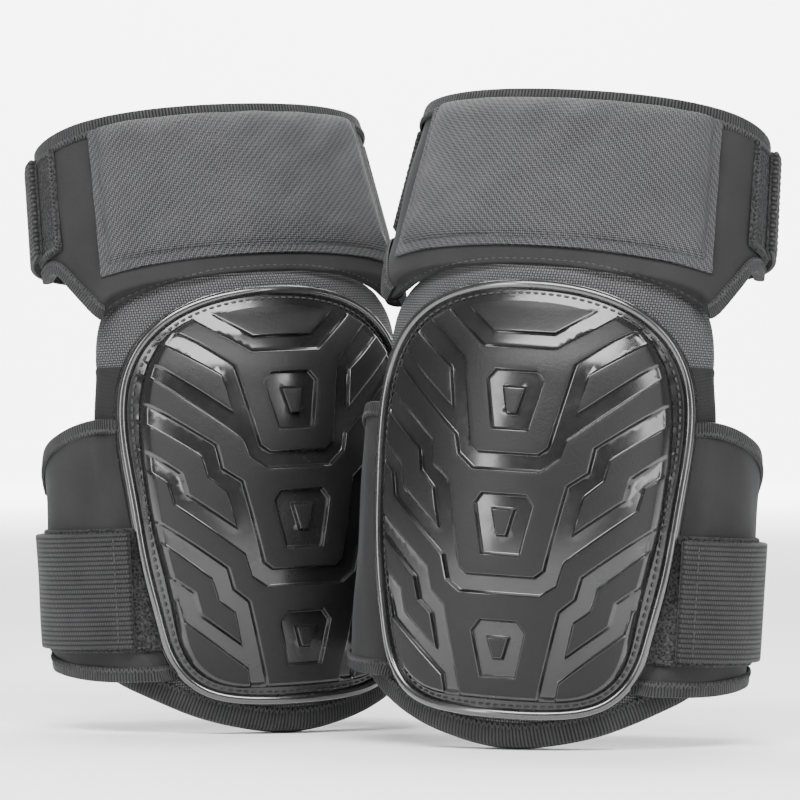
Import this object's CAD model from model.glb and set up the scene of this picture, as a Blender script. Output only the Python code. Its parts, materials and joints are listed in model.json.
import json
import math

import bpy
import numpy as np
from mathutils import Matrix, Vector
from mathutils.geometry import delaunay_2d_cdt


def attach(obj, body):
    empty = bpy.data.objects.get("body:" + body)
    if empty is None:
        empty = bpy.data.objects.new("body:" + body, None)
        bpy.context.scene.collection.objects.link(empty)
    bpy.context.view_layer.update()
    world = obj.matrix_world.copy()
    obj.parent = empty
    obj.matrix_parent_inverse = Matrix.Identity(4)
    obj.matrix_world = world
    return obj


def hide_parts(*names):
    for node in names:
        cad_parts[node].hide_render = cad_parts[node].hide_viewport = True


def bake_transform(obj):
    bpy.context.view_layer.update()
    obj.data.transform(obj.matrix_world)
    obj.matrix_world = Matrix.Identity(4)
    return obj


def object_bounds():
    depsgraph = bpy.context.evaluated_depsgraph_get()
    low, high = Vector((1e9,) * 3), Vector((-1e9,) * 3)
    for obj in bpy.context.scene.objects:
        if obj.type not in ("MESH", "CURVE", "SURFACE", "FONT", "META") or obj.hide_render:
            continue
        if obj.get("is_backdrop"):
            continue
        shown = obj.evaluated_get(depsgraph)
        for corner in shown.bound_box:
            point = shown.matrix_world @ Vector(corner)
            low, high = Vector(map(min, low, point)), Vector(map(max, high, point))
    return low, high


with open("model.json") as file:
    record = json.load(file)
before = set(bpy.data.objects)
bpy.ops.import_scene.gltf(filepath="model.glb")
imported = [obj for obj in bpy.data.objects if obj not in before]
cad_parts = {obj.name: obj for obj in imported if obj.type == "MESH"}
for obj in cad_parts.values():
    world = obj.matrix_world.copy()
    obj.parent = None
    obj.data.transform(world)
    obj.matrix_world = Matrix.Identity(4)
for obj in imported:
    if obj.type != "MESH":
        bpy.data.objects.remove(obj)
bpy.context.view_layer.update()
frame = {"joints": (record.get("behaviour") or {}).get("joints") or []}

# Pieces are shaped in each pad's own frame, in millimetres: x to the leg's outer side, y to the
# back, z up from the pad's lowest point. Heights on the surfaces below are counted from the cap's
# middle, HEX_Z.
MM = 0.001
HEX_Z = 94.0
BASE_R, DOME_R = 85.6, 93.2
RELIEF = 2.3
FLANGE_T = 2.0
BEAD_R = 2.2
PAD_T = 16.7
NEOPRENE_T = 3.2
WEB_T, HOOK_T, LOOP_T, GAP = 2.2, 1.5, 1.2, 0.4
STACK = LOOP_T + GAP + HOOK_T
FLEX_Y, FLEX_Z = -60.0, 206.0
CUFF_LEAN, CUFF_TAPER, CUFF_TOP_Z = 18.0, 7.5, 290.0
PANEL_T = 7.0
TAPE_W, EDGE_W, TAPE_T = 8.6, 6.0, 0.9
SIDES = ("right", "left")

BASE_FALL = [(-98, 14.5), (-80, 9.0), (-58, 5.2), (-30, 1.4), (0, 0), (30, 1.4), (58, 5.0),
             (80, 10.5), (97, 17.4), (112, 25.5)]
DOME_FALL = [(-98, 15.0), (-75, 9.6), (-55, 5.4), (-30, 1.6), (0, 0), (30, 1.6), (55, 5.4),
             (72, 9.2), (83, 14.6), (92, 20.4), (112, 36.0)]
RIM = [(0, 105), (30, 101.5), (50, 92.5), (62, 80), (69, 63), (71, 40), (69.2, 12), (66, -20),
       (61.5, -44), (56, -63), (45, -76), (25, -82), (0, -83)]
DOME = [(0, 98), (31, 94), (45.5, 87.6), (57, 74), (62, 58), (63.7, 38), (63.2, 18), (61.2, -4),
        (57.8, -24), (54.3, -45), (48, -64), (38, -72.2), (20, -75.2), (0, -75.5)]
PAD = [(0, 110), (32, 108.5), (55, 104.5), (69.5, 97), (75.3, 82), (78, 55), (80.2, 10),
       (80.4, -40), (78, -61), (66, -74), (45, -85), (22, -91.5), (0, -94)]
TOP_BLOCK = [(0, 82.8), (13.8, 82.8), (34, 96.7), (34, 110), (0, 110)]
BLOCK_A = [(0, 75.4), (16.2, 75.4), (45, 96.2), (52, 90.3), (38, 81), (24.5, 70), (17.1, 33.5),
           (13.3, 30.5), (0, 30.5)]
BLOCK_B = [(0, 23), (15.2, 23), (22.7, 29), (24.9, 36.9), (66, 71.7), (69, 60.8), (35.9, 34.6),
           (34.4, 24), (26.2, 17.8), (18.8, -18.7), (15.1, -21.8), (0, -21.8)]
BLOCK_C = [(0, -29.8), (18, -29.8), (24.7, -25), (27.4, -14.8), (54.8, 8.8), (56.9, 18.9),
           (70, 29.9), (68, 7.9), (34.3, -20.5), (32, -30), (25.5, -35.9), (16.4, -77), (0, -80)]
UPPER_SIDE = [(31.1, 65.6), (27.9, 49), (66, 80), (62, 87.9)]
MIDDLE_SIDE = [(42.8, 29.7), (41.1, 20.5), (33.7, 13.4), (30.3, -2.4), (49.2, 13.2), (51.1, 22.9),
               (70, 39.7), (70, 51.2)]
LOWER_SIDE = [(41.3, -25.1), (38.6, -35.2), (32.1, -40.5), (29.1, -54.6), (45.7, -40.7),
              (48, -30.7), (66, -15.4), (66, -2.6)]
CORNER_BLOCK = [(64, -27.2), (54.6, -34.2), (52.3, -44), (26.2, -66.4), (24.2, -79), (40, -85),
                (70, -60)]
POCKETS = [[(9.3, 66), (12.8, 61.7), (8.1, 40.4)], [(10, 13), (13.1, 8.6), (8.5, -13)],
           [(8.3, -41), (12, -46), (7.8, -65.5)]]
ISLANDS = [[(4.8, 58.4), (2, 47.4)], [(4.8, 6.4), (2, -4.7)], [(4.6, -48.6), (2, -57.3)]]
GEL = [(0, 52), (30, 48), (38, 20), (36, -25), (26, -50), (0, -56)]
CALF_HALF = [(61, -64), (74.3, -49.3), (83.5, -33), (88.3, -13), (86.5, 8), (75, 29), (42, 41.5),
             (0, 45)]
THIGH_HALF = [(0, -62), (31, -59.5), (58, -51), (76, -37), (84, -20), (85, 0), (78, 18), (55, 33),
              (0, 42)]
CALF_STRAP_Z, CALF_PATCH_Z = (39.5, 91.5), (37.5, 93.5)
THIGH_STRAP_Z, THIGH_PATCH_Z = (236.0, 283.0), (233.0, 284.0)
WING_END, CALF_TIP, CALF_PATCH_END, CALF_HOOK_END = 0.272, 0.030, 0.262, 0.20
CALF_FLEX = 0.53
CUFF_END, THIGH_TIP, THIGH_PATCH, THIGH_HOOK_END = 0.275, 0.250, (0.216, 0.272), 0.273


# ---------------------------------------------------------------------------------- small geometry
def array(points):
    return np.array(points, float)


def mirror_half(half):
    """Close a right-half outline with its mirrored left half, clockwise from the top."""
    return list(half) + [(-x, z) for x, z in reversed(half) if x > 0]


def spline(points, closed, count=400):
    """Points along the smooth curve through the given ones, evenly spread by length."""
    p = array(points)
    if closed:
        p = np.vstack([p, p[:1]])
    t = runs(p)
    h = np.diff(t)
    n = len(p)
    a, b = np.zeros((n, n)), np.zeros((n, p.shape[1]))
    for i in range(1, n - 1):
        a[i, i - 1], a[i, i], a[i, i + 1] = h[i - 1], 2 * (h[i - 1] + h[i]), h[i]
        b[i] = 6 * ((p[i + 1] - p[i]) / h[i] - (p[i] - p[i - 1]) / h[i - 1])
    if closed:
        a[0, 0], a[0, -1] = 1, -1
        a[-1, 0], a[-1, 1], a[-1, -2], a[-1, -1] = 2 * h[0], h[0], h[-1], 2 * h[-1]
        b[-1] = 6 * ((p[1] - p[0]) / h[0] - (p[-1] - p[-2]) / h[-1])
    else:
        a[0, 0] = a[-1, -1] = 1
    m = np.linalg.solve(a, b)
    fine = np.linspace(0, t[-1], 12 * n)
    i = np.clip(np.searchsorted(t, fine, side="right") - 1, 0, n - 2)
    u, v = (fine - t[i])[:, None], (t[i + 1] - fine)[:, None]
    hi = h[i][:, None]
    curve = (m[i] * v ** 3 + m[i + 1] * u ** 3) / (6 * hi)
    curve += (p[i] / hi - m[i] * hi / 6) * v + (p[i + 1] / hi - m[i + 1] * hi / 6) * u
    return respaced(curve, count)


def runs(path):
    """Length along a polyline at each of its points."""
    return np.concatenate([[0], np.cumsum(np.linalg.norm(np.diff(path, axis=0), axis=1))])


def respaced(curve, count):
    """The same polyline with count + 1 points, evenly spread by length."""
    s = runs(curve)
    even = np.linspace(0, s[-1], count + 1)
    return np.stack([np.interp(even, s, curve[:, k]) for k in range(curve.shape[1])], 1)


def smooth_curve(table):
    """A smooth function through a table of (place, value)."""
    x, y = array(table).T
    slopes = np.gradient(y, x)

    def value(at):
        at = np.clip(at, x[0], x[-1])
        i = np.clip(np.searchsorted(x, at, side="right") - 1, 0, len(x) - 2)
        h = x[i + 1] - x[i]
        t = (at - x[i]) / h
        return ((2 * t ** 3 - 3 * t ** 2 + 1) * y[i] + (t ** 3 - 2 * t ** 2 + t) * h * slopes[i]
                + (3 * t ** 2 - 2 * t ** 3) * y[i + 1] + (t ** 3 - t ** 2) * h * slopes[i + 1])
    return value


base_fall, dome_fall = smooth_curve(BASE_FALL), smooth_curve(DOME_FALL)


def eased(t):
    t = np.clip(t, 0, 1)
    return t * t * (3 - 2 * t)


def rounded(t):
    """Quarter-round profile: 0 at 0, 1 from 1 on."""
    t = np.clip(t, 0, 1)
    return np.sqrt(np.maximum(1 - (1 - t) ** 2, 0))


def inside_distance(points, loop):
    """Distance from each point to a closed polyline, positive inside it."""
    p, a = array(points), array(loop)
    b = np.roll(a, -1, axis=0)
    result = np.empty(len(p))
    for start in range(0, len(p), 4000):
        q = p[start:start + 4000, None]
        d = b - a
        t = np.clip(((q - a) * d).sum(2) / np.maximum((d * d).sum(1), 1e-12), 0, 1)
        near = np.sqrt((((a + t[..., None] * d) - q) ** 2).sum(2)).min(1)
        above = (a[:, 1] > q[..., 1]) != (b[:, 1] > q[..., 1])
        rise = np.where(np.abs(d[:, 1]) < 1e-12, 1e-12, d[:, 1])
        cross = a[:, 0] + (q[..., 1] - a[:, 1]) / rise * d[:, 0]
        inner = (above & (q[..., 0] < cross)).sum(1) % 2 == 1
        result[start:start + 4000] = np.where(inner, near, -near)
    return result


def shifted(loop, distance):
    """A clockwise closed loop moved outwards, mitred at its corners."""
    p = array(loop)
    before, after = p - np.roll(p, 1, axis=0), np.roll(p, -1, axis=0) - p
    before /= np.linalg.norm(before, axis=1)[:, None]
    after /= np.linalg.norm(after, axis=1)[:, None]
    n0 = np.stack([-before[:, 1], before[:, 0]], 1)
    n1 = np.stack([-after[:, 1], after[:, 0]], 1)
    mitre = (n0 + n1) / np.maximum(1 + (n0 * n1).sum(1), 0.3)[:, None]
    return p + mitre * distance


def clockwise(loop):
    p = array(loop)
    q = np.roll(p, -1, axis=0)
    area = ((q[:, 0] - p[:, 0]) * (q[:, 1] + p[:, 1])).sum()
    return p if area > 0 else p[::-1]


def triangulated(loops, spacing, keep):
    """Flat triangle mesh whose edges follow the loops; keep says which triangle centres stay.

    Each loop is (points, closed).
    """
    points, edges = [], []
    for loop, closed in loops:
        first = len(points)
        points += [tuple(q) for q in loop]
        count = len(loop)
        last = count if closed else count - 1
        edges += [(first + i, first + (i + 1) % count) for i in range(last)]
    fixed = array(points)
    low, high = fixed.min(0), fixed.max(0)
    rows = np.arange(low[1], high[1], spacing * 0.866)
    grid = []
    for k, row in enumerate(rows):
        for column in np.arange(low[0] + (k % 2) * spacing / 2, high[0], spacing):
            grid.append((column, row))
    grid = array(grid)
    clear = np.full(len(grid), np.inf)
    for start in range(0, len(fixed), 500):
        part = fixed[start:start + 500]
        clear = np.minimum(clear, np.linalg.norm(grid[:, None] - part[None], axis=2).min(1))
    grid = grid[clear > spacing * 0.45]
    everything = [Vector(q) for q in points] + [Vector(q) for q in grid]
    verts, _, faces, _, _, _ = delaunay_2d_cdt(everything, edges, [], 0, 1e-4)
    verts = array([tuple(v) for v in verts])
    faces = np.array([f for f in faces if len(f) == 3])
    centres = verts[faces].mean(1)
    faces = faces[keep(centres)]
    used, faces = np.unique(faces, return_inverse=True)
    return verts[used], faces.reshape(-1, 3)


def outward(faces, verts, away):
    """Turn each triangle of a sheet so that it looks along away, a function of its centre."""
    corners = verts[faces]
    normals = np.cross(corners[:, 1] - corners[:, 0], corners[:, 2] - corners[:, 0])
    flip = (normals * away(corners.mean(1))).sum(1) < 0
    faces = faces.copy()
    faces[flip] = faces[flip][:, ::-1]
    return faces


def to_front(centres):
    return array([0, -1, 0]) + 0 * centres


def boundary_edges(faces):
    """Directed edges that only one triangle uses."""
    edges = np.vstack([faces[:, [0, 1]], faces[:, [1, 2]], faces[:, [2, 0]]])
    keys = {tuple(e) for e in edges}
    return [e for e in keys if (e[1], e[0]) not in keys]


def thick_sheet(front, back, faces):
    """Closed solid between two point sets that share one triangulation."""
    count = len(front)
    verts = np.vstack([front, back])
    solid = [tuple(f) for f in faces] + [tuple(f[::-1] + count) for f in faces]
    solid += [(b, a, a + count, b + count) for a, b in boundary_edges(faces)]
    return verts, solid


def grid_solid(front, back):
    """Closed solid between two grids of points, each of shape (rows, columns, 3)."""
    rows, columns = front.shape[:2]
    count = rows * columns
    verts = np.vstack([front.reshape(-1, 3), back.reshape(-1, 3)])
    at = np.arange(count).reshape(rows, columns)
    quads = np.stack([at[:-1, :-1], at[1:, :-1], at[1:, 1:], at[:-1, 1:]], -1).reshape(-1, 4)
    faces = [tuple(q) for q in quads] + [tuple(q[::-1] + count) for q in quads]
    ring = list(at[0, :-1]) + list(at[:-1, -1]) + list(at[-1, :0:-1]) + list(at[:0:-1, 0])
    for a, b in zip(ring, ring[1:] + ring[:1]):
        faces.append((a, b, b + count, a + count))
    return verts, faces


def ring_faces(count, ring, closed, turned=False):
    """Quads between rings of points along a path, and the ends' caps of an open one."""
    faces = []
    for i in range(count if closed else count - 1):
        j = (i + 1) % count
        for k in range(ring):
            m = (k + 1) % ring
            quad = (i * ring + k, i * ring + m, j * ring + m, j * ring + k)
            faces.append((quad[0], quad[3], quad[2], quad[1]) if turned else quad)
    if not closed:
        faces += [tuple(range(ring)), tuple((count - 1) * ring + k for k in reversed(range(ring)))]
    return faces


def tube(path, radius, sides=10, closed=True):
    """Round closed tube along a path, with its normals roughly away from the leg."""
    path = array(path)
    after = np.roll(path, -1, axis=0) - np.roll(path, 1, axis=0)
    if not closed:
        after[0], after[-1] = path[1] - path[0], path[-1] - path[-2]
    after /= np.linalg.norm(after, axis=1)[:, None]
    up = path * array([1, 1, 0])
    up /= np.linalg.norm(up, axis=1)[:, None]
    side = np.cross(after, up)
    side /= np.linalg.norm(side, axis=1)[:, None]
    up = np.cross(side, after)
    angles = [2 * math.pi * k / sides for k in range(sides)]
    rings = [path + radius * (math.cos(w) * up + math.sin(w) * side) for w in angles]
    faces = ring_faces(len(path), sides, closed)
    if not closed:
        faces[-2:] = [faces[-2][::-1], faces[-1][::-1]]
    return np.stack(rings, 1).reshape(-1, 3), faces


def joined(*solids):
    """Several (verts, faces) as one."""
    verts, faces, first = [], [], 0
    for v, f in solids:
        verts.append(v)
        faces += [tuple(int(i) + first for i in face) for face in f]
        first += len(v)
    return np.vstack(verts), faces


def ripple(points, size, seed, reach):
    """Smooth seeded unevenness, one number per point; reach is the usual distance between bumps."""
    chance = np.random.default_rng(seed)
    p = array(points)
    total = np.zeros(len(p))
    for _ in range(7):
        way = chance.normal(size=p.shape[1])
        way *= chance.uniform(0.6, 1.5) * 2 * math.pi / (reach * np.linalg.norm(way))
        total += np.sin(p @ way + chance.uniform(0, 2 * math.pi))
    return size * total / math.sqrt(7)


# ------------------------------------------------------------------------------- surfaces in a pad
def curve_point(curve, closed):
    """Place and direction along a plan curve, by length; an open one runs on straight."""
    step = np.linalg.norm(curve[1] - curve[0])
    length = step * (len(curve) - 1)
    slopes = np.gradient(curve, step, axis=0)
    if closed:
        slopes[0] = slopes[-1] = (curve[1] - curve[-2]) / (2 * step)
    slopes /= np.linalg.norm(slopes, axis=1)[:, None]
    at = np.linspace(0, length, len(curve))

    def place(a):
        a = np.asarray(a, float)
        inner = a % length if closed else np.clip(a, 0, length)
        x, y = np.interp(inner, at, curve[:, 0]), np.interp(inner, at, curve[:, 1])
        dx, dy = np.interp(inner, at, slopes[:, 0]), np.interp(inner, at, slopes[:, 1])
        past = 0 if closed else a - inner
        return x + dx * past, y + dy * past, dx, dy
    return place, length


calf_points = spline(CALF_HALF + [(-x, y) for x, y in reversed(CALF_HALF[:-1])], False, 900)
thigh_points = spline(THIGH_HALF + [(-x, y) for x, y in reversed(THIGH_HALF[1:-1])], True, 1200)
calf_at, CALF_LENGTH = curve_point(calf_points, False)
thigh_at, THIGH_LENGTH = curve_point(thigh_points, True)


def whole(half, count=300):
    """Smooth closed outline from its right half."""
    return clockwise(spline(mirror_half(half), True, count)[:-1])


rim_loop, dome_loop = whole(RIM), whole(DOME)


def half_width(loop):
    """Right half of an outline as a function of the height."""
    right = loop[loop[:, 0] >= 0]
    right = right[np.argsort(right[:, 1])]

    def width(z):
        return np.interp(z, right[:, 1], right[:, 0])
    return width


rim_x = half_width(rim_loop)
ARCH = smooth_curve([(0, 112), (30, 110.5), (50, 106), (62, 101), (68, 97.5), (71.5, 96.8),
                     (75, 101.5), (79, 111), (82, 120), (85, 131), (95, 132)])
CUFF_X = 71.5           # the cuff's seam on the pad ends here and its bound edge starts
FLEX = FLEX_Z - HEX_Z


def stacked(x, y, z):
    return np.stack(np.broadcast_arrays(x, y, z), -1)


def knee_y(x, z, h):
    """Depth of the pad's front surface straight behind a point of the front view."""
    return -np.sqrt(np.maximum((BASE_R + h) ** 2 - x ** 2, 25)) + base_fall(z)


def dome_y(x, z, h):
    return -np.sqrt((DOME_R + h) ** 2 - x ** 2) + dome_fall(z)


def knee(u, z, h):
    """Pad surface: u is the length round the knee from the middle, z the height, h the depth."""
    turn, radius = u / BASE_R, BASE_R + h
    return stacked(radius * np.sin(turn), -radius * np.cos(turn) + base_fall(z), HEX_Z + z)


def calf(a, z, h):
    """Calf band: a is the length from its start beside the cap."""
    x, y, dx, dy = calf_at(a)
    return stacked(x + dy * h, y - dx * h, HEX_Z + z)


DIVE_START, DIVE_RUN = 1.0, 9.0     # outside the rim, where the wing dives under it
DIVE_LIFT = 0.6


def wing(a, z, h):
    """The calf band where it dives under the cap's rim."""
    point = calf(a, z, h)
    x = point[..., 0]
    under = stacked(x, knee_y(x, z, h + DIVE_LIFT), HEX_Z + z)
    dive = (1 - eased((x - rim_x(z) - DIVE_START) / DIVE_RUN))[..., None]
    return point * (1 - dive) + under * dive


def cuff_upright(a, z, h):
    off = h - CUFF_TAPER * (z - FLEX) / (CUFF_TOP_Z - FLEX_Z)
    x, y, dx, dy = thigh_at(a)
    return x + dy * off, y - dx * off


LEAN_COS, LEAN_SIN = math.cos(math.radians(CUFF_LEAN)), math.sin(math.radians(CUFF_LEAN))
SEAT_LIFT = 0.3         # the sewn-on neoprene stands this far off the pad's cover
SIT_FADE = 12.0         # it lets go of the pad over this width, round CUFF_X


def cuff(a, z, h):
    """Thigh cuff: a is the length from the front middle, leaned back above the flex line."""
    x, y = cuff_upright(a, z, h)
    back, rise = y - FLEX_Y, z - FLEX
    leaned = stacked(x, FLEX_Y + back * LEAN_COS + rise * LEAN_SIN,
                     FLEX_Z + rise * LEAN_COS - back * LEAN_SIN)
    seat = stacked(x, knee_y(x, z, h + NEOPRENE_T + SEAT_LIFT), HEX_Z + z)
    low = eased((FLEX - z) / (FLEX - np.minimum(ARCH(np.abs(x)), FLEX - 3)))
    sit = (low * (1 - eased((np.abs(x) - CUFF_X + SIT_FADE / 2) / SIT_FADE)))[..., None]
    return leaned * (1 - sit) + seat * sit


THIGH_STEP = THIGH_LENGTH / (len(thigh_points) - 1)
WIDEST = np.argmax(thigh_points[:, 0]) * THIGH_STEP      # where the thigh line is widest


def thigh_length_at(x):
    """Length along the thigh line from the front middle to a sideways distance."""
    front = thigh_points[:len(thigh_points) // 4]
    return np.interp(x, front[:, 0], np.arange(len(front)) * THIGH_STEP)


class Pad:
    """One knee pad's own frame, read from its joints."""

    def __init__(self, side):
        joints = {j["name"]: j for j in frame["joints"]}
        flex, strap = joints[side + "_cuff_flex"], joints[side + "_calf_strap_open"]
        self.side, self.mirrored = side, side == "left"
        right = -array(flex["axis"])
        up = array(strap["axis"])
        up *= np.sign(up[2])
        right -= up * (right @ up) / (up @ up)
        right, up = right / np.linalg.norm(right), up / np.linalg.norm(up)
        back = np.cross(up, right)
        out = -right if self.mirrored else right
        self.axes = np.stack([out, back, up])
        self.origin = array(flex["pos_m"]) - MM * (back * FLEX_Y + up * FLEX_Z)

    def row(self, points):
        return self.origin + MM * (array(points).reshape(-1, 3) @ self.axes)

    def name(self, part):
        return self.side + "_" + part


def piece(pad, part, solid, look, body, nodes=(), uv=None, crease=42, looks=None):
    """Mesh object from a closed solid in the pad's frame. looks is (materials, index per face)."""
    verts, faces = solid
    if pad.mirrored:
        faces = [tuple(f)[::-1] for f in faces]
    mesh = bpy.data.meshes.new(pad.name(part))
    mesh.from_pydata(pad.row(verts).tolist(), [], [tuple(int(i) for i in f) for f in faces])
    if uv is not None:
        layer = mesh.uv_layers.new(name="UVMap")
        at = np.empty(len(mesh.loops), int)
        mesh.loops.foreach_get("vertex_index", at)
        layer.data.foreach_set("uv", array(uv)[at].ravel())
    materials, index = looks if looks else ([look], None)
    for material in materials:
        mesh.materials.append(material)
    if index is not None:
        mesh.polygons.foreach_set("material_index", np.array(index, np.int32))
    mesh.polygons.foreach_set("use_smooth", [True] * len(mesh.polygons))
    mesh.set_sharp_from_angle(angle=math.radians(crease))
    mesh.validate()
    mesh.update()
    obj = bpy.data.objects.new(pad.name(part), mesh)
    bpy.context.scene.collection.objects.link(obj)
    if body:
        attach(obj, pad.side + "_" + body)
    if nodes:
        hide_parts(*[pad.name(n) for n in nodes])
    return obj


# ------------------------------------------------------------------------------------ shared makers
def fine_steps(length, count, edge):
    """Steps from 0 to length with extra ones near both ends, for rounded edges."""
    near = array([0, 0.12, 0.35, 0.7, 1.0]) * edge
    inner = np.linspace(edge, length - edge, count)[1:-1]
    return np.concatenate([near, inner, (length - near)[::-1]])


def swell(distance, edge):
    """Half-thickness factor near an edge, for a rounded border."""
    return 0.12 + 0.88 * rounded(distance / edge)


def binding(surface, path, width, low, high, fold=TAPE_T, turn=1, closed=False, ribs=0.0):
    """Tape folded over an edge: a U-shaped section along a path of (length, height).

    turn says which side of the path is the fabric; low and high are the fabric's faces.
    """
    path = array(path)
    inward = inward_of(path, turn, closed)
    middle, half = (low + high) / 2, (high - low) / 2
    outer = [(width, half + 0.15), (width - 0.25, half + fold * 0.85), (width - 0.9, half + fold),
             (width * 0.45, half + fold), (0.8, half + fold * 0.97)]
    for k in range(1, 8):
        angle = math.pi / 2 - math.pi * k / 8
        outer.append((-fold * math.cos(angle), (half + fold * 0.9) * math.sin(angle)))
    outer += [(w, -h) for w, h in outer[:5][::-1]]
    inner = [(width, -half), (0.4, -half), (0.1, 0), (0.4, half), (width, half)]
    section = outer + [(w, h) for w, h in inner[1:4]]
    points, uv = [], []
    run = runs(path)
    for w, h in section:
        at = path + inward * w
        points.append(surface(at[:, 0], at[:, 1], middle + h))
        uv.append(np.stack([run, np.full(len(path), w + (40 if h < 0 else 0))], 1))
    ring = len(section)
    verts = np.stack(points, 1).reshape(-1, 3)
    uv = np.stack(uv, 1).reshape(-1, 2)
    return facing_out((verts, ring_faces(len(path), ring, closed, turned=True))), uv


def at_run(at, run, path):
    return np.interp(at, run, path[:, 0]), np.interp(at, run, path[:, 1])


def inward_of(path, turn, closed=False):
    """Unit vectors across a path of (length, height), to the left of it when turn is 1."""
    along = np.gradient(path, axis=0)
    if closed:
        along = (np.roll(path, -1, axis=0) - np.roll(path, 1, axis=0)) / 2
    along /= np.linalg.norm(along, axis=1)[:, None]
    return np.stack([-along[:, 1], along[:, 0]], 1) * turn


def facing_out(solid):
    """Turn a closed solid's faces outwards, by its signed volume."""
    verts, faces = solid
    volume = 0.0
    for f in faces:
        for i in range(1, len(f) - 1):
            a, b, c = verts[f[0]], verts[f[i]], verts[f[i + 1]]
            volume += np.dot(a, np.cross(b, c))
    return (verts, faces) if volume > 0 else (verts, [tuple(f)[::-1] for f in faces])


def stitches(surface, path, h, spacing=3.2, stitch=2.3, radius=0.36, closed=False):
    """Row of separate stitches along a path of (length, height) on a surface."""
    path = array(path)
    if closed:
        path = np.vstack([path, path[:1]])
    run = runs(path)
    count = int(run[-1] / spacing)
    starts = (np.arange(count) + 0.5) * run[-1] / count
    verts, faces = [], []
    profile = [(-0.5, 0.15, -0.7), (-0.42, 0.75, -0.1), (-0.2, 1.0, 0.3), (0.2, 1.0, 0.3),
               (0.42, 0.75, -0.1), (0.5, 0.15, -0.7)]
    sides = 6
    one = ring_faces(len(profile), sides, False, turned=True)
    for start in starts:
        first = len(verts)
        for along, size, rise in profile:
            at = start + along * stitch
            (a, z), (a2, z2) = at_run(at, run, path), at_run(at + 0.3, run, path)
            way = array([a2 - a, z2 - z])
            way = way / max(np.linalg.norm(way), 1e-6)
            for k in range(sides):
                angle = 2 * math.pi * k / sides
                off, up = radius * size * math.cos(angle), radius * (size * math.sin(angle) + rise)
                verts.append((a - way[1] * off, z + way[0] * off, h + up))
        faces += [tuple(first + k for k in face) for face in one]
    flat = array(verts)
    return facing_out((surface(flat[:, 0], flat[:, 1], flat[:, 2]), faces))


def zigzag(surface, path, h, width=2.4, pitch=2.4, radius=0.36):
    """Zigzag seam thread along a path of (length, height) on a surface."""
    path = array(path)
    run = runs(path)
    count = int(run[-1] / pitch) * 2
    at = np.linspace(0.3, run[-1] - 0.3, count * 3 + 1)
    a, z = at_run(at, run, path)
    way = np.stack([np.gradient(a), np.gradient(z)], 1)
    way /= np.linalg.norm(way, axis=1)[:, None]
    beat = np.arange(len(at)) / 3 % 2
    swing = (1 - 2 * np.abs(beat - 1)) * width / 2
    dip = -0.25 * np.abs(swing * 2 / width) ** 4
    line = surface(a - way[:, 1] * swing, z + way[:, 0] * swing, h + radius * 0.6 + dip)
    return facing_out(tube(line, radius, 5, closed=False))


def declare_sheet(front, rests_on=()):
    """State a sheet's flat size from its outer face's grid (rows, columns, 3) in millimetres."""
    across = np.linalg.norm(np.diff(front, axis=1), axis=2).sum(1)
    down = np.linalg.norm(np.diff(front, axis=0), axis=2).sum(0)
    one = np.cross(front[1:, :-1] - front[:-1, :-1], front[:-1, 1:] - front[:-1, :-1])
    two = np.cross(front[1:, :-1] - front[1:, 1:], front[:-1, 1:] - front[1:, 1:])
    area = (np.linalg.norm(one, axis=2).sum() + np.linalg.norm(two, axis=2).sum()) / 2
    width, length = across.max() * MM, down.max() * MM
    area = min(area * MM ** 2, width * length)


def flattened(a, z):
    return np.stack([a, z], -1).reshape(-1, 2)


def band(pad, part, front, back, flat, look, body, nodes=()):
    """A piece between two grids of points, with its flat places as UVs."""
    return piece(pad, part, facing_out(grid_solid(front, back)), LOOK[look], body, nodes,
                 uv=np.vstack([flat, flat]), crease=60)


def thread(pad, part, seam, body, nodes=()):
    return piece(pad, part, seam, LOOK["thread"], body, nodes)


def box_edge(run, rise, length, height):
    """Distance from the nearest side of a length by height rectangle."""
    return np.minimum(np.minimum(run, length - run), np.minimum(rise, height - rise))


def triangle_area(points, faces):
    c = points[faces]
    return np.linalg.norm(np.cross(c[:, 1] - c[:, 0], c[:, 2] - c[:, 0]), axis=1).sum() / 2


# ----------------------------------------------------------------------------------------- the cap
def segmented(loop, step=2.0):
    """A polygon with its sides cut into short steps."""
    p = array(loop)
    out = []
    for a, b in zip(p, np.roll(p, -1, axis=0)):
        count = max(int(np.linalg.norm(b - a) / step), 1)
        out += [a + (b - a) * k / count for k in range(count)]
    return array(out)


def mirrored_loop(loop):
    return clockwise([(-x, z) for x, z in loop])


def tread_loops():
    """Closed outlines of the tread blocks, the pockets cut into them and the islands in those."""
    blocks = [clockwise(mirror_half(b)) for b in (TOP_BLOCK, BLOCK_A, BLOCK_B, BLOCK_C)]
    for block in (UPPER_SIDE, MIDDLE_SIDE, LOWER_SIDE, CORNER_BLOCK):
        blocks += [clockwise(block), mirrored_loop(block)]
    pockets = [clockwise(p + [(-x, z) for x, z in reversed(p)]) for p in POCKETS]
    islands = [clockwise(p + [(-x, z) for x, z in reversed(p)]) for p in ISLANDS]
    return blocks, pockets, islands


def tread_distance(points, blocks, pockets, islands):
    inside = np.max([inside_distance(points, b) for b in blocks], axis=0)
    pocket = np.max([inside_distance(points, p) for p in pockets], axis=0)
    island = np.max([inside_distance(points, p) for p in islands], axis=0)
    return np.maximum(np.minimum(inside, -pocket), island)


TOP_EDGE, FOOT_EDGE = 0.45, 1.0     # a channel's wall, from the tread's rounded edge to its foot
WALL_RUN = 2.6                      # the dome's rounded shoulder
SEAM_INSET = 5.4                    # the seam thread, in from the rim
SHELL_T = 2.7                       # the cap's wall
SHELL_RIM = 1.5                     # this near the dome's edge, the cap is solid to the cover
BACKING_INSET, BACKING_GAP = 3.2, 3.2


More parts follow.
